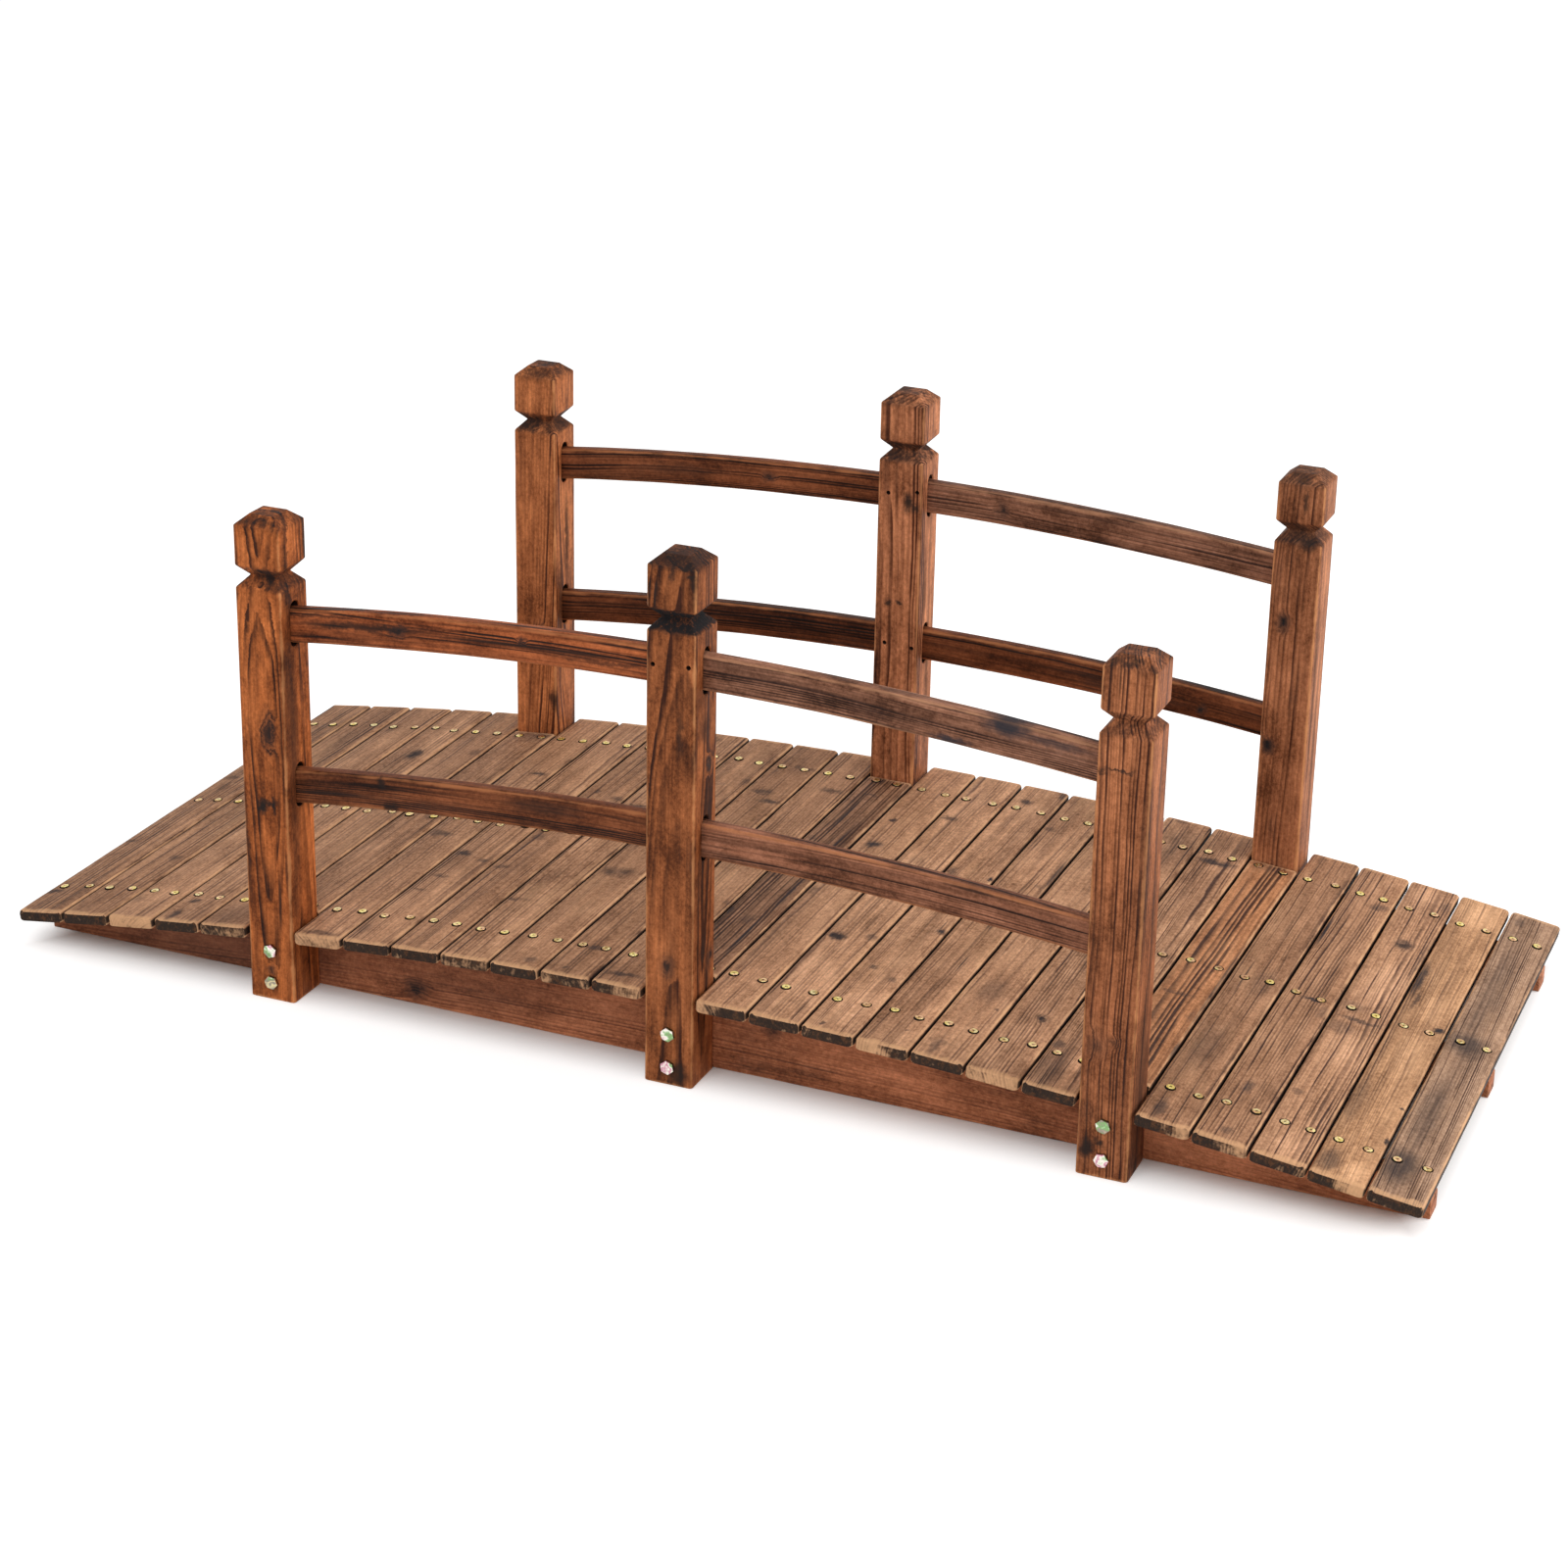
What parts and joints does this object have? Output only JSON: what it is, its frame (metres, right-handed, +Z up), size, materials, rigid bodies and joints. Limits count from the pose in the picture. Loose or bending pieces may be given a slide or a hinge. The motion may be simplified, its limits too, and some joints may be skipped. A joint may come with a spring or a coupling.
{
  "type": "moon bridge",
  "caption": "Small arched wooden garden foot-bridge: plank deck on arched stringers, square posts with necked heads, and arched double rails on both sides.",
  "frame": {"origin": "on the ground, in the middle of the bridge's footprint", "axes": "+X along the bridge to the picture's right, +Y across it from the front rail to the back rail, +Z up"},
  "size_m": [1.5136, 0.66, 0.551],
  "materials": {
    "deck_boards": "scorched softwood boards, brushed and matt, with pale worn edges and black ends",
    "stringers": "scorched softwood plank, red-brown, satin",
    "posts": "scorched softwood, orange-brown with dark grain, satin",
    "rails": "scorched softwood, dark red-brown with streaks, satin",
    "fasteners": "yellow zinc-plated bolts and screws"
  },
  "bodies": {
    "root": {"board_01": "deck_boards", "board_02": "deck_boards", "board_03": "deck_boards", "board_04": "deck_boards", "board_05": "deck_boards", "board_06": "deck_boards", "board_07": "deck_boards", "board_08": "deck_boards", "board_09": "deck_boards", "board_10": "deck_boards", "board_11": "deck_boards", "board_12": "deck_boards", "board_13": "deck_boards", "board_14": "deck_boards", "board_15": "deck_boards", "board_16": "deck_boards", "board_17": "deck_boards", "board_18": "deck_boards", "board_19": "deck_boards", "board_20": "deck_boards", "board_21": "deck_boards", "board_22": "deck_boards", "board_23": "deck_boards", "board_24": "deck_boards", "board_25": "deck_boards", "board_26": "deck_boards", "board_27": "deck_boards", "stringer_front": "stringers", "stringer_middle": "stringers", "stringer_back": "stringers", "post_front_left": "posts", "post_front_middle": "posts", "post_front_right": "posts", "post_back_left": "posts", "post_back_middle": "posts", "post_back_right": "posts", "rail_front_upper_left": "rails", "rail_front_upper_right": "rails", "rail_front_lower_left": "rails", "rail_front_lower_right": "rails", "rail_back_upper_left": "rails", "rail_back_upper_right": "rails", "rail_back_lower_left": "rails", "rail_back_lower_right": "rails"}
  },
  "joints": []
}
